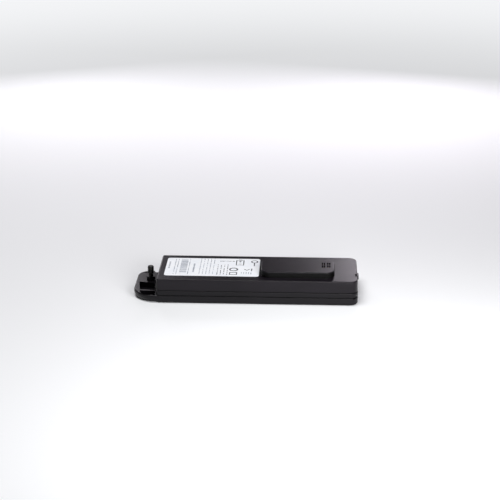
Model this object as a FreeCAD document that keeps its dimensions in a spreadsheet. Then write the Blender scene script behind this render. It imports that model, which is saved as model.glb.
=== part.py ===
"""Rechargeable battery pack of a hand-held satellite phone, as a parametric assembly.

The pack lies with its contact side up. X runs along its length, with the end flange and its
lock screw at -X; Y runs across it; Z points up, from the flat underside. Lengths are millimetres.
Every sub-part is drawn in one frame, whose X starts at the case's flange end and whose Y starts
on the centre line, and is then placed so that the whole pack is centred on the origin.
"""
import FreeCAD, Part
import math
import os

import Sketcher

# ---------------------------------------------------------------- driving dimensions

SIZES = [
    ("case_length", 108.65, "inner case, end to end"),
    ("case_width", 37.6, "inner case, side to side"),
    ("case_height", 13.8, "underside to the case's top face"),
    ("case_corner", 4.3, "corner radius at the latch end"),
    ("flange_end_corner", 1.2, "corner radius at the flange end"),
    ("smallest_corner", 0.4, "least radius of an inside corner"),
    ("case_edge", 0.7, "rounding of the case's top edge"),
    ("wall", 1.5, "side and top walls of the case"),
    ("rim_step", 0.25, "how far cover and frame stand proud of the case"),
    ("cover_height", 4.2, "outer cover and flange"),
    ("cover_floor", 1.5, "floor of the outer cover"),
    ("cover_edge", 1.2, "rounding of the cover's bottom edge"),
    ("band_edge", 0.25, "rounding along the parting lines"),
    ("seal_height", 0.4, "each parting-line seal"),
    ("seal_inset", 0.45, "seals set back from the outside"),
    ("frame_height", 2.4, "visible band of the middle frame"),
    ("tongue_width", 0.7, "locating tongue of the middle frame"),
    ("tongue_reach", 1.2, "tongue beyond the band, up and down"),
    ("tongue_gap", 0.05, "clearance round the tongue"),
    ("pry_length", 1.9, "pry slot in the cover's rim"),
    ("pry_depth", 0.8, "pry slot, into the rim"),
    ("pry_height", 0.5, "pry slot, down from the rim"),
    ("pry_from_end", 1.1, "pry slot to the cover's latch end"),
    ("flange_reach", 13.55, "flange beyond the case's end"),
    ("flange_near_corner", 13.0, "flange corner, contact side's near edge"),
    ("flange_far_corner", 7.0, "flange corner, far edge"),
    ("flange_edge", 2.8, "rounding under the flange"),
    ("flange_rim", 0.7, "rounding of the flange's top edge"),
    ("flange_notch_length", 4.7, "notch in the flange's far edge, from the case's end"),
    ("flange_notch_depth", 2.85, "notch, in from the far edge"),
    ("flange_notch_corner", 1.5, "notch, rounded inner corner"),
    ("tip_far_reach", 11.55, "deep pocket's far corner at the tip, beyond the case's end"),
    ("tip_far_offset", 1.75, "that corner across the pack"),
    ("root_far_reach", 2.7, "deep pocket's far corner at the root, beyond the case's end"),
    ("root_far_offset", -0.55, "that corner across the pack"),
    ("root_near_reach", 1.65, "deep pocket's near corner at the root, beyond the case's end"),
    ("root_near_offset", -10.5, "that corner across the pack"),
    ("tip_near_reach", 10.25, "deep pocket's near corner at the tip, beyond the case's end"),
    ("tip_near_offset", -9.7, "that corner across the pack"),
    ("deep_pocket_floor", 1.1, "floor left under the deep pocket"),
    ("side_pocket_rim", 1.1, "side pocket to the flange's near edge"),
    ("side_pocket_reach", 10.0, "side pocket beyond the case's end"),
    ("side_pocket_web", 1.2, "side pocket to the case's end"),
    ("rib_tip", 1.45, "rib between the pockets, width at the tip"),
    ("rib_root", 1.6, "rib between the pockets, width at the root"),
    ("side_pocket_corner", 6.4, "side pocket, rounded corner"),
    ("side_pocket_floor", 1.7, "floor left under the side pocket"),
    ("key_slot_centre", -9.1, "small key slot, along the pack"),
    ("key_slot_offset", 15.75, "small key slot, across the pack"),
    ("key_slot_length", 2.4, "small key slot, length"),
    ("key_slot_width", 1.3, "small key slot, width"),
    ("key_slot_depth", 1.2, "small key slot, depth"),
    ("screw_from_end", 5.45, "lock screw's axis beyond the case's end"),
    ("screw_offset", 4.7, "lock screw's axis across the pack"),
    ("screw_boss", 2.35, "moulded boss round the screw, radius"),
    ("screw_boss_height", 2.0, "moulded boss above the flange"),
    ("head_radius", 2.75, "screw head"),
    ("head_height", 1.5, "screw head"),
    ("head_recess", 0.4, "screw head above the underside"),
    ("head_gap", 0.15, "clearance round the head"),
    ("coin_slot_width", 0.9, "slot in the head"),
    ("coin_slot_depth", 0.7, "slot in the head"),
    ("neck_radius", 1.3, "plain neck of the screw"),
    ("running_gap", 0.05, "radial clearance on the neck"),
    ("washer_height", 0.3, "washer over the head"),
    ("ring_section", 0.4, "radius of the O-ring's cord"),
    ("ring_seat", 1.0, "height of the O-ring's seat"),
    ("ring_gap", 0.15, "clearance outside the O-ring"),
    ("bush_radius", 1.9, "metal bush in the boss"),
    ("bush_rim", 0.4, "thickness of the bush's rim"),
    ("screw_travel", 2.0, "captive travel of the screw"),
    ("travel_gap", 0.05, "play left at the end of the travel"),
    ("thread_radius", 1.75, "threaded end of the screw"),
    ("thread_length", 3.85, "threaded end of the screw"),
    ("thread_chamfer", 0.4, "lead-in at the screw's tip"),
    ("plug_start", 56.3, "raised contact plug from the case's end"),
    ("plug_length", 39.6, "raised contact plug"),
    ("plug_low", -14.75, "plug, near side"),
    ("plug_width", 19.7, "raised contact plug"),
    ("plug_height", 3.55, "plug above the top face"),
    ("plug_corner", 5.0, "plug corner radius"),
    ("plug_edge", 0.4, "rounding of the plug's top edge"),
    ("plug_roof", 1.25, "roof of the plug"),
    ("plug_wall", 1.6, "side walls of the plug"),
    ("groove_depth", 0.7, "seal groove in the plug's wall"),
    ("groove_foot", 0.35, "groove above the top face"),
    ("groove_height", 2.6, "seal groove"),
    ("plug_seal_proud", 0.1, "plug seal outside its groove"),
    ("lip_proud", 0.2, "each lip beyond the plug seal"),
    ("lip_height", 0.5, "each lip of the plug seal"),
    ("windows_from_end", 4.3, "middle of the windows to the plug's end"),
    ("window_pair_gap", 1.7, "between the middle two columns"),
    ("window_pitch", 1.1, "between an outer column and its neighbour"),
    ("window_row_centre", -3.05, "contact windows across the pack"),
    ("window_row_pitch", 4.1, "between the two rows"),
    ("window_width", 0.8, "one window"),
    ("window_length", 3.4, "one window"),
    ("label_start", 3.5, "label from the case's end"),
    ("label_length", 51.6, "label"),
    ("label_low", -12.95, "label, near side"),
    ("label_width", 27.1, "label"),
    ("label_corner", 1.6, "label"),
    ("label_thickness", 0.15, "label film"),
    ("label_recess", 0.1, "recess for the label"),
    ("nib_reach", 0.9, "latch nib beyond the case's end"),
    ("nib_width", 5.0, "latch nib"),
    ("nib_bottom", 9.0, "latch nib above the underside"),
    ("nib_height", 2.0, "latch nib"),
    ("nib_edge", 0.6, "rounding of the nib"),
    ("tool_notch_width", 3.6, "notch in the top edge at the latch end"),
    ("tool_notch_length", 0.9, "notch in the top edge"),
    ("tool_notch_low", -10.3, "notch, near side"),
    ("tool_notch_from_end", 0.4, "notch to the case's end"),
    ("tool_notch_depth", 0.9, "notch in the top edge"),
    ("cell_length", 49.0, "one cell, can and lid"),
    ("cell_side_gap", 0.3, "cell to the case's side wall"),
    ("cell_headroom", 0.5, "cells to the case's ceiling"),
    ("cell_corner", 2.0, "can's long edges"),
    ("can_wall", 0.4, "can's sheet"),
    ("lid_thickness", 0.9, "lid plate"),
    ("winding_gap", 0.2, "between the winding and its can"),
    ("winding_flat", 0.02, "flat left on the winding's rounded sides"),
    ("rivet_radius", 0.9, "terminal rivet's shank"),
    ("rivet_head", 1.5, "terminal rivet's head"),
    ("rivet_head_height", 0.5, "terminal rivet's head"),
    ("gasket_radius", 1.8, "terminal gasket"),
    ("gasket_height", 0.3, "terminal gasket above the lid"),
    ("end_pad_left", 0.9, "foam pad at the flange end"),
    ("cell_gap", 3.0, "between the two lids"),
    ("cell_pad", 0.5, "foam under the cells"),
    ("pad_inset", 2.0, "pads and tapes set back from the cells' edges"),
    ("spacer_width", 0.9, "spacer between the cells"),
    ("strap_width", 3.0, "nickel strap"),
    ("strap_thickness", 0.12, "nickel strap"),
    ("strap_foot", 5.4, "lower end of the straps"),
    ("positive_offset", -9.5, "positive straps across the pack"),
    ("strap_overlap", 2.0, "straps under the board's edge"),
    ("board_gap", 0.25, "board to the plug's inside walls"),
    ("board_drop", 0.05, "board's underside below the case's ceiling"),
    ("board_thickness", 0.8, "protection board"),
    ("insulator_thickness", 0.2, "insulating sheet on the board's cell"),
    ("block_margin", 0.45, "contact block beyond the outer columns"),
    ("block_roof_gap", 0.35, "contact block's top to the plug's roof"),
    ("blade_width", 0.8, "contact blade"),
    ("blade_thickness", 0.25, "contact blade"),
    ("blade_margin", 0.5, "contact blade beyond the windows"),
    ("switch_length", 4.4, "switch transistor"),
    ("switch_width", 3.0, "switch transistor"),
    ("switch_height", 1.0, "switch transistor"),
    ("switch_pitch", 5.4, "between the two switch transistors"),
    ("guard_length", 3.0, "protection circuit"),
    ("guard_width", 1.7, "protection circuit"),
    ("guard_height", 1.1, "protection circuit"),
    ("fuse_length", 4.5, "fuse"),
    ("fuse_width", 3.2, "fuse"),
    ("fuse_height", 1.1, "fuse"),
    ("passive_length", 1.6, "small resistor or capacitor"),
    ("passive_width", 0.8, "small resistor or capacitor"),
    ("passive_height", 0.8, "small resistor or capacitor"),
    ("passive_pitch", 2.4, "between small passives, along the board"),
    ("passive_row_pitch", 1.6, "between the two rows of small passives"),
    ("chip_row", 3.0, "chips from the board's centre line"),
    ("switch_start", 6.0, "board's start to the first switch transistor"),
    ("guard_start", 18.0, "board's start to the protection circuit"),
    ("fuse_row", -3.4, "fuse from the board's centre line"),
    ("fuse_start", 6.0, "board's start to the fuse"),
    ("passive_row", -4.8, "first row of passives from the board's centre line"),
    ("passive_start", 12.0, "board's start to the first passive"),
]
SWITCHES = 2
PASSIVE_COLUMNS = 5
PASSIVE_ROWS = 2
ZERO = 1e-9
LEVEL_TOLERANCE = 1e-4

doc = FreeCAD.newDocument("battery_pack")
sizes = doc.addObject("Spreadsheet::Sheet", "sizes")
for row, (alias, size, meaning) in enumerate(SIZES, start=1):
    sizes.set(f"A{row}", meaning)
    sizes.set(f"B{row}", str(size))
    sizes.setAlias(f"B{row}", alias)
doc.recompute()

# ---------------------------------------------------------------- heights and places, as expressions

REBATE_INSET = "(sizes.wall - sizes.tongue_width - sizes.tongue_gap)"
REBATE_DEPTH = "(sizes.tongue_reach + sizes.tongue_gap - sizes.seal_height)"
CASE_START = "(sizes.flange_reach - sizes.case_length - sizes.nib_reach) / 2"
COVER_HALF = "(sizes.case_width / 2 + sizes.rim_step)"
COVER_END = "(sizes.case_length + sizes.rim_step)"
FRAME_BOTTOM = "(sizes.cover_height + sizes.seal_height)"
FRAME_TOP = f"({FRAME_BOTTOM} + sizes.frame_height)"
CASE_BOTTOM = f"({FRAME_TOP} + sizes.seal_height)"
CEILING = "(sizes.case_height - sizes.wall)"
PLUG_TOP = "(sizes.case_height + sizes.plug_height)"
PLUG_CEILING = f"({PLUG_TOP} - sizes.plug_roof)"
SCREW_X = "(-sizes.screw_from_end)"
SCREW_Y = "sizes.screw_offset"
HEAD_TOP = "(sizes.head_recess + sizes.head_height)"
WASHER_TOP = f"({HEAD_TOP} + sizes.washer_height)"
BUSH_BOTTOM = f"({WASHER_TOP} + sizes.ring_seat)"
BOSS_TOP = "(sizes.cover_height + sizes.screw_boss_height)"
BUSH_TOP = f"({BOSS_TOP} + sizes.bush_rim)"
THREAD_BOTTOM = f"({BUSH_TOP} + sizes.screw_travel + sizes.travel_gap)"
THREAD_TOP = f"({THREAD_BOTTOM} + sizes.thread_length)"
SEAT_RADIUS = "(sizes.neck_radius + sizes.running_gap)"
CELL_BOTTOM = "(sizes.cover_floor + sizes.cell_pad)"
CELL_TOP = f"({CEILING} - sizes.cell_headroom)"
CELL_HEIGHT = f"({CELL_TOP} - {CELL_BOTTOM})"
CELL_MIDDLE = f"({CELL_BOTTOM} + {CELL_HEIGHT} / 2)"
CELL_HALF = "(sizes.case_width / 2 - sizes.wall - sizes.cell_side_gap)"
LEFT_CELL = "(sizes.wall + sizes.end_pad_left)"
LEFT_LID = f"({LEFT_CELL} + sizes.cell_length)"
RIGHT_LID = f"({LEFT_LID} + sizes.cell_gap)"
RIGHT_END = f"({RIGHT_LID} + sizes.cell_length)"
BOARD_BOTTOM = f"({CEILING} - sizes.board_drop)"
BOARD_TOP = f"({BOARD_BOTTOM} + sizes.board_thickness)"
BOARD_INSET = "(sizes.plug_wall + sizes.board_gap)"
BOARD_START = f"(sizes.plug_start + {BOARD_INSET})"
INSULATOR_TOP = f"({CELL_TOP} + sizes.insulator_thickness)"
WINDOW_CENTRE = "(sizes.plug_start + sizes.plug_length - sizes.windows_from_end)"
BLADE_BOTTOM = f"({PLUG_CEILING} - sizes.block_roof_gap)"
ROWS_REACH = "(sizes.window_row_pitch / 2 + sizes.window_length / 2 + sizes.blade_margin)"
SHARP = (None, None, None, None)


# ---------------------------------------------------------------- sketch shapes

def size_of(expression):
    """An expression's present value."""
    return sizes.evalExpression(str(expression))


def tie(sketch, geometry, point, kind, place):
    """Hold one coordinate of a sketch point at an expression; kind is DistanceX or DistanceY."""
    now = size_of(place)
    if abs(now) < ZERO:
        across = -2 if kind == "DistanceX" else -1
        sketch.addConstraint(Sketcher.Constraint("PointOnObject", geometry, point, across))
        return
    ends = (-1, 1, geometry, point) if now > 0 else (geometry, point, -1, 1)
    index = sketch.addConstraint(Sketcher.Constraint(kind, *ends, abs(now)))
    sketch.setExpression(f"Constraints[{index}]", str(place) if now > 0 else f"-({place})")


def polygon(points):
    """A closed outline of straight lines through points, each a pair of expressions."""
    def draw(sketch):
        places = [FreeCAD.Vector(size_of(x), size_of(y), 0) for x, y in points]
        count = len(places)
        first = sketch.GeometryCount
        for n in range(count):
            sketch.addGeometry(Part.LineSegment(places[n], places[(n + 1) % count]), False)
        for n in range(count):
            after = first + (n + 1) % count
            sketch.addConstraint(Sketcher.Constraint("Coincident", first + n, 2, after, 1))
        for n, (x, y) in enumerate(points):
            tie(sketch, first + n, 1, "DistanceX", x)
            tie(sketch, first + n, 1, "DistanceY", y)
    return draw


def rectangle(low, high, radii=SHARP):
    """A rectangle between two corners. radii goes round from the low corner, None where sharp."""
    def draw(sketch):
        x0, y0, x1, y1 = (size_of(place) for place in (*low, *high))
        rounds = [0 if radius is None else size_of(radius) for radius in radii]
        corners = [(x0, y0), (x1, y0), (x1, y1), (x0, y1)]
        along = [(1, 0), (0, 1), (-1, 0), (0, -1)]
        first = sketch.GeometryCount
        for n, (dx, dy) in enumerate(along):
            after = (n + 1) % 4
            start = FreeCAD.Vector(corners[n][0] + dx * rounds[n], corners[n][1] + dy * rounds[n], 0)
            end = FreeCAD.Vector(corners[after][0] - dx * rounds[after],
                                 corners[after][1] - dy * rounds[after], 0)
            sketch.addGeometry(Part.LineSegment(start, end), False)
            direction = "Horizontal" if dy == 0 else "Vertical"
            sketch.addConstraint(Sketcher.Constraint(direction, first + n))
        for n, radius in enumerate(rounds):
            before = first + (n - 1) % 4
            if not radius:
                sketch.addConstraint(Sketcher.Constraint("Coincident", before, 2, first + n, 1))
                continue
            (ax, ay), (bx, by) = along[n - 1], along[n]
            middle = FreeCAD.Vector(corners[n][0] + (bx - ax) * radius,
                                    corners[n][1] + (by - ay) * radius, 0)
            turn = math.radians(180 + 90 * n)
            circle_edge = Part.Circle(middle, FreeCAD.Vector(0, 0, 1), radius)
            arc = sketch.addGeometry(Part.ArcOfCircle(circle_edge, turn, turn + math.pi / 2), False)
            sketch.addConstraint(Sketcher.Constraint("Tangent", before, 2, arc, 1))
            sketch.addConstraint(Sketcher.Constraint("Tangent", arc, 2, first + n, 1))
            index = sketch.addConstraint(Sketcher.Constraint("Radius", arc, radius))
            sketch.setExpression(f"Constraints[{index}]", str(radii[n]))
        tie(sketch, first, 1, "DistanceY", low[1])
        tie(sketch, first + 1, 1, "DistanceX", high[0])
        tie(sketch, first + 2, 1, "DistanceY", high[1])
        tie(sketch, first + 3, 1, "DistanceX", low[0])
    return draw


def circle(centre, radius):
    """A circle round a centre, all expressions."""
    def draw(sketch):
        x, y = centre
        size = size_of(radius)
        middle = FreeCAD.Vector(size_of(x), size_of(y), 0)
        ring = sketch.addGeometry(Part.Circle(middle, FreeCAD.Vector(0, 0, 1), size), False)
        index = sketch.addConstraint(Sketcher.Constraint("Radius", ring, size))
        sketch.setExpression(f"Constraints[{index}]", str(radius))
        tie(sketch, ring, 3, "DistanceX", x)
        tie(sketch, ring, 3, "DistanceY", y)
    return draw


def case_outline(inset):
    """The case's plan, set in from the case wall by inset (negative sets it out)."""
    half = f"(sizes.case_width / 2 - ({inset}))"
    flange_end = f"max(sizes.flange_end_corner - ({inset}); sizes.smallest_corner)"
    latch_end = f"max(sizes.case_corner - ({inset}); sizes.smallest_corner)"
    return rectangle((f"({inset})", f"-{half}"), (f"(sizes.case_length - ({inset}))", half),
                     (flange_end, latch_end, latch_end, flange_end))


def plug_outline(inset):
    """The contact plug's plan, set in from its wall by inset (negative sets it out)."""
    corner = f"max(sizes.plug_corner - ({inset}); sizes.smallest_corner)"
    low = (f"(sizes.plug_start + ({inset}))", f"(sizes.plug_low + ({inset}))")
    high = (f"(sizes.plug_start + sizes.plug_length - ({inset}))",
            f"(sizes.plug_low + sizes.plug_width - ({inset}))")
    return rectangle(low, high, (corner,) * 4)


# ---------------------------------------------------------------- features

def new_body(name):
    return doc.addObject("PartDesign::Body", name)


def profile(body, plane, offset, shapes):
    """A sketch on one of the body's own origin planes, moved by offset and filled with shapes."""
    sketch = body.newObject("Sketcher::SketchObject", f"{body.Name}_sketch")
    origin_plane = next(f for f in body.Origin.OriginFeatures if f.Role == plane)
    sketch.AttachmentSupport = (origin_plane, [""])
    sketch.MapMode = "FlatFace"
    for axis, distance in zip("xyz", offset):
        sketch.setExpression(f"AttachmentOffset.Base.{axis}", str(distance))
    for draw in shapes:
        draw(sketch)
    return sketch


def pad(body, bottom, height, shapes, plane="XY_Plane"):
    """Material from bottom upwards, or along +X where the plane is YZ_Plane."""
    feature = body.newObject("PartDesign::Pad", f"{body.Name}_pad")
    feature.Profile = profile(body, plane, (0, 0, bottom), shapes)
    feature.setExpression("Length", height)
    return feature


def pocket(body, top, depth, shapes, plane="XY_Plane"):
    """A cut from top downwards, or along -X where the plane is YZ_Plane."""
    feature = body.newObject("PartDesign::Pocket", f"{body.Name}_pocket")
    feature.Profile = profile(body, plane, (0, 0, top), shapes)
    feature.setExpression("Length", depth)
    return feature


def prism(name, bottom, height, shapes, plane="XY_Plane"):
    body = new_body(name)
    pad(body, bottom, height, shapes, plane)
    return body


def round_edges(body, radius, chosen):
    """Fillet the edges of the body so far for which chosen is true."""
    doc.recompute()
    base = body.Tip
    names = [f"Edge{n}" for n, edge in enumerate(base.Shape.Edges, start=1) if chosen(edge.BoundBox)]
    feature = body.newObject("PartDesign::Fillet", f"{body.Name}_fillet")
    feature.Base = (base, names)
    feature.setExpression("Radius", radius)
    return feature


def at_height(height, outside_case=False):
    """Chooses edges that lie level at a height, all of them or only those outside the case wall."""
    level = size_of(height)
    half = size_of("sizes.case_width / 2")
    end = size_of("sizes.case_length")

    def chosen(box):
        if abs(box.ZMin - level) > LEVEL_TOLERANCE or abs(box.ZMax - level) > LEVEL_TOLERANCE:
            return False
        return not outside_case or box.YMin < -half or box.YMax > half or box.XMin < 0 or box.XMax > end
    return chosen


def turned(name, centre, points, axis="V_Axis"):
    """A turned piece about a line through centre: upright, or along X where the axis is H_Axis."""
    body = new_body(name)
    x, y, z = centre
    outline = profile(body, "XZ_Plane", (x, z, f"-({y})"), [polygon(points)])
    feature = body.newObject("PartDesign::Revolution", f"{name}_turn")
    feature.Profile = outline
    feature.ReferenceAxis = (outline, [axis])
    feature.Angle = 360
    return body


def block(name, low, high):
    """A plain box between two corners."""
    box = doc.addObject("Part::Box", name)
    for side, axis, start, end in zip(("Length", "Width", "Height"), "xyz", low, high):
        box.setExpression(side, f"({end}) - ({start})")
        box.setExpression(f"Placement.Base.{axis}", str(start))
    return box


def fused(name, shapes):
    feature = doc.addObject("Part::MultiFuse", name)
    feature.Shapes = shapes
    return feature


def group(name, shapes):
    """Separate solids of one kind, kept as one sub-part."""
    feature = doc.addObject("Part::Compound", name)
    feature.Links = shapes
    return feature


subparts = []


def subpart(feature, label):
    """Name a finished sub-part and place it with the pack centred on the origin."""
    feature.Label = label
    feature.setExpression("Placement.Base.x", CASE_START)
    subparts.append(feature)
    return feature


# ---------------------------------------------------------------- shells, frame and seals

def outer_cover():
    """Tray with the end flange that carries the lock screw."""
    tray = prism("cover_tray", "0", "sizes.cover_height", [case_outline("-sizes.rim_step")])
    round_edges(tray, "sizes.cover_edge", at_height("0"))
    cavity = "sizes.cover_height - sizes.cover_floor"
    pocket(tray, "sizes.cover_height", cavity, [case_outline("sizes.wall")])
    pocket(tray, "sizes.cover_height", REBATE_DEPTH, [case_outline(REBATE_INSET)])
    round_edges(tray, "sizes.band_edge", at_height("sizes.cover_height", outside_case=True))

    slot_ring = prism("pry_ring", "sizes.cover_height - sizes.pry_height", "2 * sizes.pry_height",
                      [case_outline("-2 * sizes.rim_step"), case_outline("sizes.pry_depth - sizes.rim_step")])
    pry_end = f"{COVER_END} - sizes.pry_from_end"
    slot_box = block("pry_box", (f"{pry_end} - sizes.pry_length", f"-{COVER_HALF} - sizes.rim_step", "0"),
                     (pry_end, "0", "2 * sizes.cover_height"))
    slot = doc.addObject("Part::MultiCommon", "pry_slot")
    slot.Shapes = [slot_ring, slot_box]
    cover = doc.addObject("Part::Cut", "outer_cover")
    cover.Base = fused("cover_with_flange", [tray, flange()])
    cover.Tool = slot
    subpart(cover, "outer_cover")


def flange():
    """D-shaped end plate with two pockets, a key slot, a notch and the screw's boss."""
    plate = prism("flange_plate", "0", "sizes.cover_height", [
        rectangle(("-sizes.flange_reach", f"-{COVER_HALF}"), (REBATE_INSET, COVER_HALF),
                  ("sizes.flange_near_corner", None, None, "sizes.flange_far_corner"))])
    notch_side = f"({COVER_HALF} - sizes.flange_notch_depth)"
    pocket(plate, "sizes.cover_height", "sizes.cover_height", [
        rectangle(("-sizes.flange_notch_length", notch_side), ("0", f"{COVER_HALF} + sizes.rim_step"),
                  ("sizes.flange_notch_corner", None, None, None))])
    root = -LEVEL_TOLERANCE
    level = size_of("sizes.cover_height")
    notch = size_of(notch_side)
    round_edges(plate, "sizes.flange_edge",
                lambda box: box.ZMax < LEVEL_TOLERANCE and box.XMin < root and box.YMin < notch)
    round_edges(plate, "sizes.flange_rim",
                lambda box: box.ZMin > level - LEVEL_TOLERANCE and box.XMin < root and box.YMin < notch)
    pocket(plate, "sizes.cover_height", "sizes.cover_height - sizes.deep_pocket_floor", [
        polygon([("-sizes.tip_near_reach", "sizes.tip_near_offset"),
                 ("-sizes.root_near_reach", "sizes.root_near_offset"),
                 ("-sizes.root_far_reach", "sizes.root_far_offset"),
                 ("-sizes.tip_far_reach", "sizes.tip_far_offset")])])
    side_near = f"(sizes.side_pocket_rim - {COVER_HALF})"
    side_far = "(sizes.tip_near_offset - sizes.rib_tip)"
    pocket(plate, "sizes.cover_height", "sizes.cover_height - sizes.side_pocket_floor", [
        rectangle(("-sizes.side_pocket_reach", side_near), ("-sizes.side_pocket_web", side_far),
                  ("sizes.side_pocket_corner", None, None, None))])
    pad(plate, "sizes.side_pocket_floor", "sizes.cover_height - sizes.side_pocket_floor", [
        polygon([("-sizes.side_pocket_reach", side_far),
                 ("-sizes.side_pocket_web", "sizes.root_near_offset - sizes.rib_root"),
                 ("-sizes.side_pocket_web", side_far)])])
    half_length = "sizes.key_slot_length / 2"
    half_width = "sizes.key_slot_width / 2"
    pocket(plate, "sizes.cover_height", "sizes.key_slot_depth", [
        rectangle((f"sizes.key_slot_centre - {half_length}", f"sizes.key_slot_offset - {half_width}"),
                  (f"sizes.key_slot_centre + {half_length}", f"sizes.key_slot_offset + {half_width}"))])
    axis = (SCREW_X, SCREW_Y)
    pad(plate, "sizes.cover_height", "sizes.screw_boss_height", [circle(axis, "sizes.screw_boss")])
    pocket(plate, BOSS_TOP, BOSS_TOP, [circle(axis, "sizes.bush_radius")])
    ring_seat = f"{SEAT_RADIUS} + 2 * sizes.ring_section + sizes.ring_gap"
    pocket(plate, BUSH_BOTTOM, BUSH_BOTTOM, [circle(axis, ring_seat)])
    pocket(plate, WASHER_TOP, WASHER_TOP, [circle(axis, "sizes.head_radius + sizes.head_gap")])
    return plate


def middle_frame():
    """Band between cover and case, with a tongue that locates both."""
    tongue = "sizes.wall - sizes.tongue_width"
    frame = prism("middle_frame", FRAME_BOTTOM, "sizes.frame_height",
                  [case_outline("-sizes.rim_step"), case_outline("sizes.wall")])
    for level in (FRAME_BOTTOM, FRAME_TOP):
        round_edges(frame, "sizes.band_edge", at_height(level, outside_case=True))
    pad(frame, f"{FRAME_BOTTOM} - sizes.tongue_reach", "sizes.frame_height + 2 * sizes.tongue_reach",
        [case_outline(tongue), case_outline("sizes.wall")])
    subpart(frame, "middle_frame")


def parting_seals():
    """The two rubber seals that the tongue passes through."""
    outside = "sizes.seal_inset - sizes.rim_step"
    for label, bottom in (("cover_seal", "sizes.cover_height"), ("case_seal", FRAME_TOP)):
        seal = prism(label, bottom, "sizes.seal_height", [case_outline(outside), case_outline(REBATE_INSET)])
        subpart(seal, label)


def windows():
    """The contact windows: columns in two pairs, in two rows."""
    inner = "sizes.window_pair_gap / 2"
    outer = f"({inner} + sizes.window_pitch)"
    shapes = []
    for column in (f"-{outer}", f"-{inner}", inner, outer):
        for row in ("-sizes.window_row_pitch / 2", "sizes.window_row_pitch / 2"):
            x = f"{WINDOW_CENTRE} + {column}"
            y = f"sizes.window_row_centre + {row}"
            shapes.append(rectangle((f"{x} - sizes.window_width / 2", f"{y} - sizes.window_length / 2"),
                                    (f"{x} + sizes.window_width / 2", f"{y} + sizes.window_length / 2")))
    return shapes


def inner_case():
    """Case that the phone receives, with the contact plug, label recess and latch nib."""
    case = prism("inner_case", CASE_BOTTOM, f"sizes.case_height - {CASE_BOTTOM}", [case_outline("0")])
    round_edges(case, "sizes.case_edge", at_height("sizes.case_height"))
    pad(case, CEILING, f"{PLUG_TOP} - {CEILING}", [plug_outline("0")])
    round_edges(case, "sizes.plug_edge", at_height(PLUG_TOP))
    pocket(case, CEILING, f"{CEILING} - {CASE_BOTTOM}", [case_outline("sizes.wall")])
    pocket(case, f"{CASE_BOTTOM} + {REBATE_DEPTH}", REBATE_DEPTH, [case_outline(REBATE_INSET)])
    pocket(case, PLUG_CEILING, f"{PLUG_CEILING} - {CEILING}", [plug_outline("sizes.plug_wall")])
    groove_top = "sizes.case_height + sizes.groove_foot + sizes.groove_height"
    pocket(case, groove_top, "sizes.groove_height",
           [plug_outline("-sizes.groove_depth"), plug_outline("sizes.groove_depth")])
    pocket(case, PLUG_TOP, "sizes.plug_roof", windows())
    pocket(case, "sizes.case_height", "sizes.label_recess", [label_outline()])
    notch_end = "sizes.case_length - sizes.tool_notch_from_end"
    pocket(case, "sizes.case_height", "sizes.tool_notch_depth", [
        rectangle((f"{notch_end} - sizes.tool_notch_length", "sizes.tool_notch_low"),
                  (notch_end, "sizes.tool_notch_low + sizes.tool_notch_width"))])
    pad(case, "sizes.nib_bottom", "sizes.nib_height", [
        rectangle(("sizes.case_length - sizes.wall / 2", "-sizes.nib_width / 2"),
                  ("sizes.case_length + sizes.nib_reach", "sizes.nib_width / 2"),
                  (None, "sizes.nib_edge", "sizes.nib_edge", None))])
    subpart(case, "inner_case")


def label_outline():
    return rectangle(("sizes.label_start", "sizes.label_low"),
                     ("sizes.label_start + sizes.label_length", "sizes.label_low + sizes.label_width"),
                     ("sizes.label_corner",) * 4)


def label():
    film = prism("label", "sizes.case_height - sizes.label_recess", "sizes.label_thickness",
                 [label_outline()])
    subpart(film, "label")


def plug_seal():
    """Rubber band in the plug's groove, with a wiping lip near each edge."""
    inside = plug_outline("sizes.groove_depth")
    bottom = "sizes.case_height + sizes.groove_foot"
    seal = prism("plug_seal", bottom, "sizes.groove_height",
                 [plug_outline("-sizes.plug_seal_proud"), inside])
    lip = plug_outline("-sizes.plug_seal_proud - sizes.lip_proud")
    for foot in (f"{bottom} + sizes.lip_height / 2",
                 f"{bottom} + sizes.groove_height - 1.5 * sizes.lip_height"):
        pad(seal, foot, "sizes.lip_height", [lip, inside])
    subpart(seal, "plug_seal")


# ---------------------------------------------------------------- captive lock screw

def screw_bush():
    """Metal bush pressed into the boss, its rim on the boss's top."""
    bush = turned("screw_bush", (SCREW_X, SCREW_Y, "0"), [
        (SEAT_RADIUS, BUSH_BOTTOM), ("sizes.bush_radius", BUSH_BOTTOM), ("sizes.bush_radius", BOSS_TOP),
        ("sizes.screw_boss", BOSS_TOP), ("sizes.screw_boss", BUSH_TOP), (SEAT_RADIUS, BUSH_TOP)])
    subpart(bush, "screw_bush")


def screw_washer():
    washer = turned("screw_washer", (SCREW_X, SCREW_Y, "0"), [
        (SEAT_RADIUS, HEAD_TOP), ("sizes.head_radius", HEAD_TOP),
        ("sizes.head_radius", WASHER_TOP), (SEAT_RADIUS, WASHER_TOP)])
    subpart(washer, "screw_washer")


def screw_ring():
    """O-ring that keeps the screw's hole tight, resting on the washer."""
    ring = doc.addObject("Part::Torus", "screw_ring")
    ring.setExpression("Radius1", f"{SEAT_RADIUS} + sizes.ring_section")
    ring.setExpression("Radius2", "sizes.ring_section")
    ring.setExpression("Placement.Base.x", SCREW_X)
    ring.setExpression("Placement.Base.y", SCREW_Y)
    ring.setExpression("Placement.Base.z", f"{WASHER_TOP} + sizes.ring_section")
    subpart(group("screw_ring_placed", [ring]), "screw_o_ring")


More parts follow.
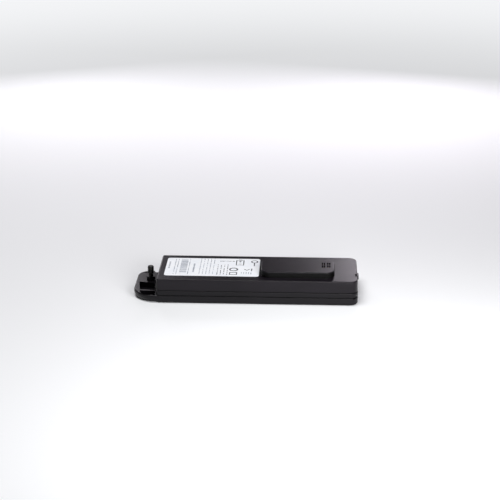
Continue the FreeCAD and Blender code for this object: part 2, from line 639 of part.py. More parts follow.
def lock_screw():
    """Coin-slot head underneath, plain neck in the bush, threaded free end above."""
    screw = turned("lock_screw", (SCREW_X, SCREW_Y, "0"), [
        (0, "sizes.head_recess"), ("sizes.head_radius", "sizes.head_recess"),
        ("sizes.head_radius", HEAD_TOP), ("sizes.neck_radius", HEAD_TOP),
        ("sizes.neck_radius", THREAD_BOTTOM), ("sizes.thread_radius", THREAD_BOTTOM),
        ("sizes.thread_radius", f"{THREAD_TOP} - sizes.thread_chamfer"),
        ("sizes.thread_radius - sizes.thread_chamfer", THREAD_TOP), (0, THREAD_TOP)])
    half = "sizes.coin_slot_width / 2"
    reach = "(sizes.head_radius + sizes.head_gap)"
    pocket(screw, "sizes.head_recess + sizes.coin_slot_depth", "sizes.coin_slot_depth", [
        rectangle((f"{SCREW_X} - {half}", f"{SCREW_Y} - {reach}"),
                  (f"{SCREW_X} + {half}", f"{SCREW_Y} + {reach}"))])
    subpart(screw, "lock_screw")


# ---------------------------------------------------------------- cells

def cell_section(inset):
    """A cell's cross-section, seen along the pack, set in from its can."""
    half = f"({CELL_HALF} - ({inset}))"
    corner = f"(sizes.cell_corner - ({inset}))"
    return rectangle((f"-{half}", f"{CELL_BOTTOM} + ({inset})"), (half, f"{CELL_TOP} - ({inset})"),
                     (corner,) * 4)


def cell(side, start, end, outward):
    """One prismatic cell from start to end; outward is +1 or -1, the way its lid faces."""
    plane = "YZ_Plane"
    face = end if outward > 0 else start
    inner = cell_section("sizes.can_wall")
    can = prism(f"cell_{side}_can", start, f"{end} - {start}", [cell_section("0")], plane)
    deepest = f"{end} - {start} - sizes.can_wall"
    pocket(can, end if outward > 0 else f"{end} - sizes.can_wall", deepest, [inner], plane)
    subpart(can, f"cell_{side}_can")

    lid_start = f"{end} - sizes.lid_thickness" if outward > 0 else start
    lid = prism(f"cell_{side}_lid", lid_start, "sizes.lid_thickness",
                [inner, circle(("0", CELL_MIDDLE), "sizes.rivet_head")], plane)
    subpart(lid, f"cell_{side}_lid")

    room = "(sizes.can_wall + sizes.winding_gap)"
    height = f"({CELL_HEIGHT} / 2 - {room} - sizes.winding_flat / 2)"
    headroom = "(sizes.lid_thickness + sizes.rivet_radius)"
    winding_start = f"{start} + {room if outward > 0 else headroom}"
    length = f"{end} - {start} - {room} - {headroom}"
    winding = prism(f"cell_{side}_winding", winding_start, length, [
        rectangle((f"-{CELL_HALF} + {room}", f"{CELL_BOTTOM} + {room}"),
                  (f"{CELL_HALF} - {room}", f"{CELL_TOP} - {room}"), (height,) * 4)], plane)
    subpart(winding, f"cell_{side}_winding")

    def out(distance):
        return f"{outward} * ({distance})"

    centre = (face, "0", CELL_MIDDLE)
    rivet_top = "sizes.gasket_height + sizes.rivet_head_height"
    inside = out("-sizes.lid_thickness")
    seat = out("sizes.gasket_height")
    rivet = turned(f"cell_{side}_terminal", centre, [
        (inside, 0), (inside, "sizes.rivet_radius"), (seat, "sizes.rivet_radius"),
        (seat, "sizes.rivet_head"), (out(rivet_top), "sizes.rivet_head"), (out(rivet_top), 0)], "H_Axis")
    subpart(rivet, f"cell_{side}_terminal")
    gasket = turned(f"cell_{side}_gasket", centre, [
        (inside, "sizes.rivet_radius"), (inside, "sizes.rivet_head"), (0, "sizes.rivet_head"),
        (0, "sizes.gasket_radius"), (seat, "sizes.gasket_radius"), (seat, "sizes.rivet_radius")], "H_Axis")
    subpart(gasket, f"cell_{side}_gasket")


def strap(label, face, run_top, offset, outward):
    """Nickel strip: up a lid's face, then along to the board's edge."""
    low_y = f"{offset} - sizes.strap_width / 2"
    high_y = f"{offset} + sizes.strap_width / 2"
    back = face if outward > 0 else f"{face} - sizes.strap_thickness"
    leg = block(f"{label}_leg", (back, low_y, "sizes.strap_foot"),
                (f"{back} + sizes.strap_thickness", high_y, run_top))
    run = block(f"{label}_run", (back, low_y, f"{run_top} - sizes.strap_thickness"),
                (f"{BOARD_START} + sizes.strap_overlap", high_y, run_top))
    subpart(fused(f"{label}_strip", [leg, run]), label)


def straps():
    """Both cells in parallel: each left strap lies on its right one, under the board."""
    post = "(sizes.gasket_height + sizes.rivet_head_height)"
    upper = BOARD_BOTTOM
    lower = f"({BOARD_BOTTOM} - sizes.strap_thickness)"
    strap("negative_strap_left", f"({LEFT_LID} + {post})", upper, "0", 1)
    strap("negative_strap_right", f"({RIGHT_LID} - {post})", lower, "0", -1)
    strap("positive_strap_left", LEFT_LID, upper, "sizes.positive_offset", 1)
    strap("positive_strap_right", RIGHT_LID, lower, "sizes.positive_offset", -1)


def packing():
    """Foam, tape, spacer and insulating sheet that hold the cells."""
    half = f"({CELL_HALF} - sizes.pad_inset)"
    left = (f"{LEFT_CELL} + sizes.pad_inset", f"{LEFT_LID} - sizes.pad_inset")
    right = (f"{RIGHT_LID} + sizes.pad_inset", f"{RIGHT_END} - sizes.pad_inset")
    pads = [block(f"pad_{side}", (ends[0], f"-{half}", "sizes.cover_floor"), (ends[1], half, CELL_BOTTOM))
            for side, ends in (("left", left), ("right", right))]
    subpart(group("pads", pads), "cell_foam_pads")

    plug_end = "sizes.plug_start + sizes.plug_length"
    tapes = [block("tape_left", (left[0], f"-{half}", CELL_TOP), (left[1], half, CEILING)),
             block("tape_right", (plug_end, f"-{half}", INSULATOR_TOP), (right[1], half, CEILING))]
    subpart(group("tapes", tapes), "cell_tapes")

    sheet = prism("cell_insulator", CELL_TOP, "sizes.insulator_thickness", [
        rectangle((RIGHT_LID, f"-{half}"), (RIGHT_END, half))])
    subpart(sheet, "cell_insulator")

    middle = f"({LEFT_LID} + sizes.cell_gap / 2)"
    spacer = prism("cell_spacer", CELL_BOTTOM, CELL_HEIGHT, [
        rectangle((f"{middle} - sizes.spacer_width / 2", f"-{half}"),
                  (f"{middle} + sizes.spacer_width / 2", half))])
    subpart(spacer, "cell_spacer")

    low = f"{CELL_BOTTOM} + sizes.can_wall"
    high = f"{CELL_HEIGHT} - 2 * sizes.can_wall"
    for side, start, end in (("left", "sizes.wall", LEFT_CELL),
                             ("right", RIGHT_END, "sizes.case_length - sizes.wall")):
        reach = "(sizes.case_width / 2 - sizes.case_corner - sizes.wall)"
        foam = prism(f"end_pad_{side}", low, high, [rectangle((start, f"-{reach}"), (end, reach))])
        subpart(foam, f"end_pad_{side}")


# ---------------------------------------------------------------- protection board and contacts

def board():
    plate = prism("protection_board", BOARD_BOTTOM, "sizes.board_thickness", [plug_outline(BOARD_INSET)])
    subpart(plate, "protection_board")
    low = (f"{BOARD_START} + 2 * sizes.strap_overlap", "sizes.plug_low + 2 * " + BOARD_INSET, INSULATOR_TOP)
    high = (f"sizes.plug_start + sizes.plug_length - 2 * {BOARD_INSET}",
            f"sizes.plug_low + sizes.plug_width - 2 * {BOARD_INSET}", BOARD_BOTTOM)
    foam = prism("board_foam", low[2], f"{high[2]} - {low[2]}", [rectangle(low[:2], high[:2])])
    subpart(foam, "board_foam")


def on_board(name, x, y, length, width, height):
    """A component on the board's top, centred at (x, y) from the board's start and centre line."""
    centre_x = f"({BOARD_START} + {x})"
    centre_y = f"(sizes.plug_low + sizes.plug_width / 2 + {y})"
    low = (f"{centre_x} - {length} / 2", f"{centre_y} - {width} / 2", BOARD_TOP)
    high = (f"{centre_x} + {length} / 2", f"{centre_y} + {width} / 2", f"{BOARD_TOP} + {height}")
    return block(name, low, high)


def components():
    """Switches, protection circuit, fuse and passives, in places along the board."""
    chip = ("sizes.switch_length", "sizes.switch_width", "sizes.switch_height")
    switches = [on_board(f"switch_{n}", f"(sizes.switch_start + {n} * sizes.switch_pitch)",
                         "sizes.chip_row", *chip) for n in range(SWITCHES)]
    subpart(group("switches", switches), "switch_transistors")
    guard = on_board("guard", "sizes.guard_start", "sizes.chip_row",
                     "sizes.guard_length", "sizes.guard_width", "sizes.guard_height")
    subpart(group("guard_chip", [guard]), "protection_circuit")
    fuse = on_board("fuse_box", "sizes.fuse_start", "sizes.fuse_row",
                    "sizes.fuse_length", "sizes.fuse_width", "sizes.fuse_height")
    subpart(group("fuse", [fuse]), "board_fuse")
    small = ("sizes.passive_length", "sizes.passive_width", "sizes.passive_height")
    passives = [on_board(f"passive_{column}_{row}",
                         f"(sizes.passive_start + {column} * sizes.passive_pitch)",
                         f"(sizes.passive_row + {row} * sizes.passive_row_pitch)", *small)
                for column in range(PASSIVE_COLUMNS) for row in range(PASSIVE_ROWS)]
    subpart(group("passives", passives), "board_passives")


def contacts():
    """Moulded block under the windows with one blade for each column."""
    inner = "sizes.window_pair_gap / 2"
    outer = f"({inner} + sizes.window_pitch)"
    low_y = f"(sizes.window_row_centre - {ROWS_REACH})"
    high_y = f"(sizes.window_row_centre + {ROWS_REACH})"
    holder = prism("contact_block", BOARD_TOP, f"{BLADE_BOTTOM} - {BOARD_TOP}", [
        rectangle((f"{WINDOW_CENTRE} - {outer} - sizes.block_margin", low_y),
                  (f"{WINDOW_CENTRE} + {outer} + sizes.block_margin", high_y))])
    subpart(holder, "contact_block")
    blades = []
    for n, column in enumerate((f"-{outer}", f"-{inner}", inner, outer)):
        x = f"{WINDOW_CENTRE} + {column}"
        low_x = f"{x} - sizes.blade_width / 2"
        high_x = f"{x} + sizes.blade_width / 2"
        blade_top = f"{BLADE_BOTTOM} + sizes.blade_thickness"
        top = block(f"blade_{n}_top", (low_x, low_y, BLADE_BOTTOM),
                    (high_x, f"{high_y} + sizes.blade_thickness", blade_top))
        leg = block(f"blade_{n}_leg", (low_x, high_y, BOARD_TOP),
                    (high_x, f"{high_y} + sizes.blade_thickness", blade_top))
        blades.append(fused(f"blade_{n}", [top, leg]))
    subpart(group("blades", blades), "contact_blades")


# ---------------------------------------------------------------- assembly and export

outer_cover()
parting_seals()
middle_frame()
inner_case()
plug_seal()
label()
screw_bush()
screw_washer()
screw_ring()
lock_screw()
cell("left", LEFT_CELL, LEFT_LID, 1)
cell("right", RIGHT_LID, RIGHT_END, -1)
straps()
packing()
board()
components()
contacts()
doc.recompute()

for item in doc.Objects:
    if "Invalid" in item.State or "Error" in item.State:
        raise RuntimeError(f"{item.Label} did not build: {item.State}")
for item in subparts:
    if item.Shape.isNull() or not item.Shape.isValid() or not item.Shape.Solids:
        raise RuntimeError(f"{item.Label} is not a valid solid")

os.makedirs("parts", exist_ok=True)
for item in subparts:
    item.Shape.exportStep(f"parts/{item.Label}.step")
print(f"{len(subparts)} sub-parts written")
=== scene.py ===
"""Looks of a satellite phone's battery pack, built round its fixed CAD frame.

The pack lies on its outer cover with the contact side up. Lengths are metres in the frame's own
axes: X along the pack with the screw flange at -X, Y across it, Z up. Sizes that a maker would
name in millimetres are written in millimetres and turned to metres where they are used.
"""

import math

import bpy
from mathutils import Matrix, Vector


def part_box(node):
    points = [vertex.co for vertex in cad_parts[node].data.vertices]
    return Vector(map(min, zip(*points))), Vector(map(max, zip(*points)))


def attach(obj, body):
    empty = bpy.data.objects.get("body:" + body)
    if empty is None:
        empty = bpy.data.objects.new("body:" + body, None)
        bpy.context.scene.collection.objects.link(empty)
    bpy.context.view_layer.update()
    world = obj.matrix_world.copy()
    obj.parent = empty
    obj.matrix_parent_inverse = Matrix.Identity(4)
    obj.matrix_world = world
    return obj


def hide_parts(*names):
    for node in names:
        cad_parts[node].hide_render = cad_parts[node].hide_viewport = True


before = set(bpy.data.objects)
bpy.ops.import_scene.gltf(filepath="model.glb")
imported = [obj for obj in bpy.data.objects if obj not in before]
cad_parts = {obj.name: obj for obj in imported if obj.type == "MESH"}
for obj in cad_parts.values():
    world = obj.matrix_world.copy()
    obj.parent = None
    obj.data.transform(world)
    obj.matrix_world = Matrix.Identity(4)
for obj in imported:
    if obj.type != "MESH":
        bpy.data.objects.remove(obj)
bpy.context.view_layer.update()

bl_info = {
    "name": "Handset battery pack",
    "version": (1, 0, 0),
    "blender": (4, 5, 0),
    "location": "View3D > Sidebar > Battery Pack",
    "description": "Finishes, label print, threaded lock screw and studio for a handset battery pack",
    "category": "Object",
}

MM = 0.001
PACK = "pack"
SCREW = "screw"

SENSOR_MM = 36
NEAR_CLIP = 0.01
FLOOR_REACH = 3.0

# The card's glow begins and is full at these distances from the origin, and how strong it is then.
GLOW_START = 0.1
GLOW_FULL = 1.0
GLOW_STRENGTH = 0.85

# Each light's place, its two sides and its tint. Its power is the stage setting of that name.
LIGHTS = (
    ("overhead", (-0.15, -0.15, 0.85), (0.5, 0.5), "#FFFFFF"),
    ("near_right", (0.12, -0.22, 0.1), (0.12, 0.12), "#FFFFFF"),
    ("back_left", (-0.18, 0.45, 0.2), (0.1, 0.22), "#FDF8FF"),
    ("back_right", (0.12, 0.45, 0.2), (0.1, 0.22), "#FDF5FF"),
)

SAME_POINT = 1e-9       # metres: a printed line whose ends are nearer than this is closed


# ---------------------------------------------------------------- colours and shader nodes

def linear(hex_colour):
    """An sRGB hex colour as linear red, green, blue and alpha."""
    channels = [int(hex_colour[i:i + 2], 16) / 255 for i in (1, 3, 5)]
    return tuple(c / 12.92 if c <= 0.04045 else ((c + 0.055) / 1.055) ** 2.4 for c in channels) + (1.0,)


def add(tree, kind, inputs=None, **settings):
    """A node of that kind with its settings, its inputs set to values or linked from sockets."""
    made = tree.nodes.new(kind)
    for name, value in settings.items():
        setattr(made, name, value)
    for socket, value in (inputs or {}).items():
        if isinstance(value, bpy.types.NodeSocket):
            tree.links.new(value, made.inputs[socket])
        else:
            made.inputs[socket].default_value = value
    return made


def per_mm(size):
    """The texture scale whose features are that many millimetres across."""
    return 1 / (size * MM)


# The wave texture repeats every pi / 10 metres at a scale of 1, so these bands are about 0.6 mm
# apart on the foil and 1 mm apart on the glass cloth.
FOIL_BANDS = per_mm(0.3) / (2 * math.pi)
WEAVE_BANDS = per_mm(0.5) / (2 * math.pi)


def new_material(name, roughness, **shader):
    """A material with its shader; shader names sockets whose value is the same all over."""
    material = bpy.data.materials.new(name)
    material.use_nodes = True
    tree = material.node_tree
    tree.nodes.clear()
    inputs = {"Roughness": roughness}
    inputs.update({socket.replace("_", " "): value for socket, value in shader.items()})
    surface = add(tree, "ShaderNodeBsdfPrincipled", inputs)
    add(tree, "ShaderNodeOutputMaterial", {"Surface": surface.outputs["BSDF"]})
    place = add(tree, "ShaderNodeTexCoord").outputs["Object"]
    return material, tree, surface, place


def noise(tree, place, size, detail=2.0, stretch=(1, 1, 1)):
    """Noise whose lumps are size millimetres across, drawn out where stretch is under 1."""
    scaled = add(tree, "ShaderNodeVectorMath", {0: place, 1: stretch}, operation="MULTIPLY")
    texture = add(tree, "ShaderNodeTexNoise", {"Vector": scaled.outputs[0], "Scale": per_mm(size),
                                               "Detail": detail})
    return texture.outputs["Fac"]


def tone(tree, surface, factor, dark, light, low=0.3, high=0.7):
    """Base colour that goes from dark to light as factor goes from low to high."""
    ramp = add(tree, "ShaderNodeMapRange", {"Value": factor, "From Min": low, "From Max": high})
    mix = add(tree, "ShaderNodeMix", {0: ramp.outputs["Result"], 6: linear(dark), 7: linear(light)},
              data_type="RGBA")
    tree.links.new(mix.outputs[2], surface.inputs["Base Color"])


def vary_roughness(tree, surface, factor, low, high):
    """Roughness that goes from low to high with factor."""
    ramp = add(tree, "ShaderNodeMapRange", {"Value": factor, "From Min": 0.3, "From Max": 0.7,
                                            "To Min": low, "To Max": high})
    tree.links.new(ramp.outputs["Result"], surface.inputs["Roughness"])


def relief(tree, surface, height, depth):
    """Bump from height, depth millimetres from its lowest to its highest."""
    bump = add(tree, "ShaderNodeBump", {"Height": height, "Distance": depth * MM, "Strength": 1.0})
    tree.links.new(bump.outputs["Normal"], surface.inputs["Normal"])


# ---------------------------------------------------------------- finishes

def spark_eroded_plastic(name, dark, light, roughness):
    """Black plastic from a spark-eroded mould: an even dull skin whose sheen breaks up into grain.

    The mould's grain is about 0.1 mm; it is drawn at 0.45 mm so that it shows at arm's length.
    Its IOR is under the resin's 1.5 to 1.6, because the grain traps part of the surface reflection.
    """
    material, tree, surface, place = new_material(name, roughness, IOR=1.32)
    grain = noise(tree, place, 0.45, detail=3.0)
    flow = noise(tree, place, 14.0, detail=3.0, stretch=(0.4, 1, 1))
    tone(tree, surface, flow, dark, light)
    vary_roughness(tree, surface, flow, roughness - 0.03, roughness + 0.03)
    relief(tree, surface, grain, 0.02)
    return material


def moulded_rubber(name, dark, light, roughness=0.55):
    """Moulded silicone or nitrile: soft, dull black with faint dust and flow marks.

    The dust traps reflections, so its IOR is under the rubber's 1.4 to 1.5.
    """
    material, tree, surface, place = new_material(name, roughness, IOR=1.25)
    dust = noise(tree, place, 1.2, detail=4.0)
    tone(tree, surface, dust, dark, light, 0.45, 0.8)
    relief(tree, surface, dust, 0.01)
    return material


def printed_film():
    """White polyester label film: satin, with a slight orange-peel from its adhesive."""
    material, tree, surface, place = new_material("white_polyester_film", 0.5, IOR=1.45)
    cloud = noise(tree, place, 6.0, detail=2.0)
    tone(tree, surface, cloud, "#EEF2F8", "#F7F9FC")
    relief(tree, surface, noise(tree, place, 1.6), 0.006)
    return material


def label_ink(name, colour, faded):
    """Thermal-transfer print: a thin matt deposit with pinholes where the ribbon missed."""
    material, tree, surface, place = new_material(name, 0.6, IOR=1.5)
    tone(tree, surface, noise(tree, place, 0.3, detail=4.0), faded, colour, 0.35, 0.5)
    relief(tree, surface, noise(tree, place, 0.2), 0.003)
    return material


def black_oxide_steel(name, dark, worn, roughness=0.38):
    """Turned steel with black oxide: near black, browner and brighter where handling rubbed it."""
    material, tree, surface, place = new_material(name, roughness, Metallic=0.85)
    rub = noise(tree, place, 0.8, detail=4.0)
    tone(tree, surface, rub, dark, worn, 0.45, 0.75)
    vary_roughness(tree, surface, rub, roughness + 0.08, roughness - 0.08)
    tool_marks = noise(tree, place, 0.5, detail=1.0, stretch=(0.05, 0.05, 6))
    relief(tree, surface, tool_marks, 0.008)
    return material


def natural_nylon():
    """Machined nylon: milky, slightly waxy, with light passing into it."""
    material, tree, surface, place = new_material("natural_nylon", 0.45, IOR=1.53)
    surface.inputs["Subsurface Weight"].default_value = 0.15
    surface.inputs["Subsurface Scale"].default_value = 0.5 * MM
    tone(tree, surface, noise(tree, place, 2.0), "#D2CDBE", "#E4E0D4")
    relief(tree, surface, noise(tree, place, 0.3), 0.006)
    return material


def drawn_metal(name, dark, light, roughness):
    """Sheet drawn or rolled along X: fine parallel lines that stretch its highlights across."""
    material, tree, surface, place = new_material(name, roughness, Metallic=1.0)
    lines = noise(tree, place, 0.35, detail=3.0, stretch=(0.04, 1, 1))
    tone(tree, surface, lines, dark, light)
    vary_roughness(tree, surface, lines, roughness - 0.06, roughness + 0.08)
    relief(tree, surface, lines, 0.005)
    return material


def wound_foil():
    """Edges of wound electrode foil: copper and aluminium turns, drawn coarser than they are."""
    material, tree, surface, place = new_material("wound_electrode_foil", 0.4, Metallic=0.8)
    turns = add(tree, "ShaderNodeTexWave", {"Vector": place, "Scale": FOIL_BANDS, "Distortion": 1.5},
                bands_direction="Z")
    tone(tree, surface, turns.outputs["Fac"], "#6B4630", "#A9A29A")
    relief(tree, surface, turns.outputs["Fac"], 0.02)
    return material


def closed_cell_foam():
    """Die-cut foam: cells about half a millimetre across, all dull."""
    material, tree, surface, place = new_material("closed_cell_foam", 0.95, IOR=1.4)
    cells = add(tree, "ShaderNodeTexVoronoi", {"Vector": place, "Scale": per_mm(0.5)})
    tone(tree, surface, cells.outputs["Distance"], "#1C1C1D", "#3A3A3B", 0.1, 0.7)
    relief(tree, surface, cells.outputs["Distance"], 0.08)
    return material


def foam_tape():
    """White double-sided tape: soft foam with a glossy adhesive skin."""
    material, tree, surface, place = new_material("double_sided_tape", 0.35, IOR=1.47)
    skin = noise(tree, place, 0.9, detail=3.0)
    tone(tree, surface, skin, "#CFCBBF", "#E6E3DA")
    relief(tree, surface, skin, 0.02)
    return material


def insulating_paper():
    """Vulcanised paper: tan, with fibres laid mostly along X."""
    material, tree, surface, place = new_material("vulcanised_paper", 0.8, IOR=1.5)
    fibres = noise(tree, place, 0.4, detail=5.0, stretch=(0.15, 1, 1))
    tone(tree, surface, fibres, "#8E7144", "#B7986A")
    relief(tree, surface, fibres, 0.015)
    return material


def solder_mask():
    """Green solder mask over glass cloth: glossy, with the weave just showing through."""
    material, tree, surface, place = new_material("green_solder_mask", 0.22, IOR=1.52)
    surface.inputs["Coat Weight"].default_value = 0.5
    warp = add(tree, "ShaderNodeTexWave", {"Vector": place, "Scale": WEAVE_BANDS}, bands_direction="X")
    weft = add(tree, "ShaderNodeTexWave", {"Vector": place, "Scale": WEAVE_BANDS}, bands_direction="Y")
    weave = add(tree, "ShaderNodeMath", {0: warp.outputs["Fac"], 1: weft.outputs["Fac"]},
                operation="MULTIPLY")
    tone(tree, surface, weave.outputs[0], "#0B4A2A", "#13633A", 0.0, 1.0)
    relief(tree, surface, weave.outputs[0], 0.01)
    return material


def moulding_compound():
    """Epoxy chip body: charcoal with a fine matt grit of silica."""
    material, tree, surface, place = new_material("epoxy_moulding_compound", 0.62, IOR=1.55)
    grit = noise(tree, place, 0.15, detail=3.0)
    tone(tree, surface, grit, "#1D1D1E", "#2C2C2D")
    relief(tree, surface, grit, 0.01)
    return material


def fired_ceramic(name, dark, light):
    """Fired chip ceramic: smooth, faintly cloudy."""
    material, tree, surface, place = new_material(name, 0.3, IOR=1.6)
    cloud = noise(tree, place, 0.6, detail=3.0)
    tone(tree, surface, cloud, dark, light)
    relief(tree, surface, cloud, 0.004)
    return material


def gold_plate():
    """Thin hard gold over nickel, with wipe marks along the blades."""
    material, tree, surface, place = new_material("hard_gold_plate", 0.25, Metallic=1.0)
    wipes = noise(tree, place, 0.25, detail=3.0, stretch=(1, 0.08, 1))
    tone(tree, surface, wipes, "#C8973A", "#E3BE6A")
    vary_roughness(tree, surface, wipes, 0.18, 0.36)
    relief(tree, surface, wipes, 0.003)
    return material


def studio_sweep(colour):
    """Matt studio card: near white with a faint paper tooth, glowing where it is far from the pack."""
    material, tree, surface, place = new_material("pale_studio_card", 0.85, IOR=1.45)
    surface.inputs["Base Color"].default_value = colour
    surface.inputs["Emission Color"].default_value = colour
    away = add(tree, "ShaderNodeVectorMath", {0: place}, operation="LENGTH")
    glow = add(tree, "ShaderNodeMapRange", {
        "Value": away.outputs["Value"], "From Min": GLOW_START, "From Max": GLOW_FULL,
        "To Max": GLOW_STRENGTH}, interpolation_type="SMOOTHSTEP")
    tree.links.new(glow.outputs["Result"], surface.inputs["Emission Strength"])
    relief(tree, surface, noise(tree, place, 1.5, detail=3.0), 0.02)
    return material


def dress(material, *nodes):
    """Give CAD nodes that finish."""
    for name in nodes:
        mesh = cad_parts[name].data
        mesh.materials.clear()
        mesh.materials.append(material)


# ---------------------------------------------------------------- meshes

def new_piece(name, verts, faces, material):
    """A mesh object at the origin, with its place in its mesh."""
    mesh = bpy.data.meshes.new(name)
    mesh.from_pydata([tuple(v) for v in verts], [], faces)
    mesh.materials.append(material)
    mesh.validate()
    piece = bpy.data.objects.new(name, mesh)
    bpy.context.scene.collection.objects.link(piece)
    return piece


def apply_modifiers(piece):
    """Turn the piece's modifiers into its mesh."""
    depsgraph = bpy.context.evaluated_depsgraph_get()
    mesh = bpy.data.meshes.new_from_object(piece.evaluated_get(depsgraph))
    piece.modifiers.clear()
    piece.data = mesh


def smooth_by_angle(piece, degrees=35):
    """Smooth shading with a crease wherever faces meet more sharply than that."""
    for polygon in piece.data.polygons:
        polygon.use_smooth = True
    piece.data.set_sharp_from_angle(angle=math.radians(degrees))


def join(name, pieces):
    """One mesh object out of several at the origin."""
    with bpy.context.temp_override(active_object=pieces[0], selected_editable_objects=pieces):
        bpy.ops.object.join()
    pieces[0].name = name
    pieces[0].data.name = name
    return pieces[0]


# ---------------------------------------------------------------- label print

def print_tree():
    """Rows of printed dashes: a grid of points, each with a thin bar of random length."""
    tree = bpy.data.node_groups.new("printed_rows", "GeometryNodeTree")
    face = tree.interface
    for kind, name, value in (("NodeSocketFloat", "Width", 0.01), ("NodeSocketFloat", "Length", 0.02),
                              ("NodeSocketInt", "Rows", 4), ("NodeSocketInt", "Dashes", 12),
                              ("NodeSocketFloat", "Stroke", 0.0003), ("NodeSocketFloat", "Thickness", 2e-5),
                              ("NodeSocketFloat", "Shortest", 0.35), ("NodeSocketFloat", "Longest", 0.95),
                              ("NodeSocketFloat", "Inked", 0.85), ("NodeSocketInt", "Seed", 1),
                              ("NodeSocketMaterial", "Ink", None)):
        socket = face.new_socket(name=name, in_out="INPUT", socket_type=kind)
        if value is not None:
            socket.default_value = value
    face.new_socket(name="Geometry", in_out="OUTPUT", socket_type="NodeSocketGeometry")
    given = add(tree, "NodeGroupInput").outputs
    places = add(tree, "GeometryNodeMeshGrid", {"Size X": given["Width"], "Size Y": given["Length"],
                                                "Vertices X": given["Rows"], "Vertices Y": given["Dashes"]})
    steps = add(tree, "ShaderNodeMath", {0: given["Dashes"], 1: 1.0}, operation="SUBTRACT")
    pitch = add(tree, "ShaderNodeMath", {0: given["Length"], 1: steps.outputs[0]}, operation="DIVIDE")
    size = add(tree, "ShaderNodeCombineXYZ", {0: given["Stroke"], 1: pitch.outputs[0],
                                              2: given["Thickness"]})
    bar = add(tree, "GeometryNodeMeshCube", {"Size": size.outputs[0]})
    inked = add(tree, "FunctionNodeRandomValue", {"Probability": given["Inked"], "Seed": given["Seed"]},
                data_type="BOOLEAN")
    share = add(tree, "FunctionNodeRandomValue", {2: given["Shortest"], 3: given["Longest"],
                                                  "Seed": given["Seed"]}, data_type="FLOAT")
    stretch = add(tree, "ShaderNodeCombineXYZ", {0: 1.0, 1: share.outputs[1], 2: 1.0})
    bars = add(tree, "GeometryNodeInstanceOnPoints", {
        "Points": places.outputs["Mesh"], "Instance": bar.outputs["Mesh"],
        "Selection": inked.outputs[3], "Scale": stretch.outputs[0]})
    real = add(tree, "GeometryNodeRealizeInstances", {"Geometry": bars.outputs[0]})
    inky = add(tree, "GeometryNodeSetMaterial", {"Geometry": real.outputs[0], "Material": given["Ink"]})
    add(tree, "NodeGroupOutput", {"Geometry": inky.outputs[0]})
    return tree


def printed_rows(tree, centre, ink, **sizes):
    """One block of printed rows, centred at a point, as a plain mesh object."""
    piece = bpy.data.objects.new("printed_rows", bpy.data.meshes.new("printed_rows"))
    bpy.context.scene.collection.objects.link(piece)
    modifier = piece.modifiers.new("rows", "NODES")
    modifier.node_group = tree
    inputs = {"Ink": ink, **sizes}
    for item in tree.interface.items_tree:
        if item.in_out == "INPUT" and item.name in inputs:
            modifier[item.identifier] = inputs[item.name]
    apply_modifiers(piece)
    piece.data.transform(Matrix.Translation(centre))
    return piece


def ribbon(points, width, bottom, top, ink):
    """A printed line of constant width along points, closed into a thin solid."""
    left, right = [], []
    closed = (points[0] - points[-1]).length < SAME_POINT
    if closed:
        points = points[:-1]
    count = len(points)
    for n, point in enumerate(points):
        before = points[(n - 1) % count] if closed or n else point
        after = points[(n + 1) % count] if closed or n < count - 1 else point
        heading = (after - before).normalized()
        side = Vector((-heading.y, heading.x)) * (width / 2)
        left.append(point + side)
        right.append(point - side)
    verts = [(v.x, v.y, z) for z in (bottom, top) for v in left + right]
    low_right, high_left, high_right = count, 2 * count, 3 * count
    faces = []
    for n in range(count if closed else count - 1):
        m = (n + 1) % count
        faces += [(n, m, low_right + m, low_right + n),
                  (high_left + m, high_left + n, high_right + n, high_right + m),
                  (m, n, high_left + n, high_left + m),
                  (low_right + n, low_right + m, high_right + m, high_right + n)]
    if not closed:
        end = count - 1
        faces += [(0, low_right, high_right, high_left),
                  (low_right + end, end, high_left + end, high_right + end)]
    return new_piece("symbol", verts, faces, ink)


def circle(centre, radius, steps=24):
    """Points round a circle, the last on the first."""
    turns = [2 * math.pi * n / steps for n in range(steps + 1)]
    return [Vector((centre[0] + radius * math.cos(a), centre[1] + radius * math.sin(a))) for a in turns]


# ---------------------------------------------------------------- lock screw

# The thread's depth as a share of its pitch, and the turns over which it fades out at each end.
# Its groove is a triangle, made FLANK times steeper and lowered by CREST so that crest and root
# are flat. EDGE_STEPS divide each rounded edge of the head, and the cutter of the coin slot is
# SLOT_OVERRUN head radii long.
THREAD_DEPTH = 0.61
RUN_OUT = 0.8
FLANK = 1.25
CREST = 0.12
EDGE_STEPS = 4
SLOT_OVERRUN = 2.2


def screw_profile(sizes, low, high, head_radius):
    """Rows of (height, radius, thread depth) up the screw, with rounded edges on its head."""
    edge = sizes.edge_mm * MM
    head_top = low + sizes.head_mm * MM
    neck = sizes.neck_mm * MM / 2
    crest = sizes.thread_mm * MM / 2
    start = high - sizes.thread_length_mm * MM
    pitch = sizes.pitch_mm * MM
    cut = pitch * THREAD_DEPTH
    corner = [math.pi / 2 * n / EDGE_STEPS for n in range(EDGE_STEPS + 1)]
    drops = [(edge * (1 - math.sin(a)), head_radius - edge * (1 - math.cos(a))) for a in corner]
    rows = [(low, 0.0, 0.0)]
    rows += [(low + drop, radius, 0.0) for drop, radius in reversed(drops)]
    rows += [(head_top - drop, radius, 0.0) for drop, radius in drops]
    rows += [(head_top, neck, 0.0), (start, neck, 0.0)]
    steps = int(round((high - start) / pitch * sizes.rows_per_turn))
    lead_in = sizes.lead_in_mm * MM
    for n in range(steps + 1):
        z = start + (high - start) * n / steps
        taper = max(0.0, lead_in - (high - z))
        fade = min(1.0, min(z - start, high - z) / (RUN_OUT * pitch))
        rows.append((z, crest - taper, cut * fade))
    rows.append((high, 0.0, 0.0))
    return rows


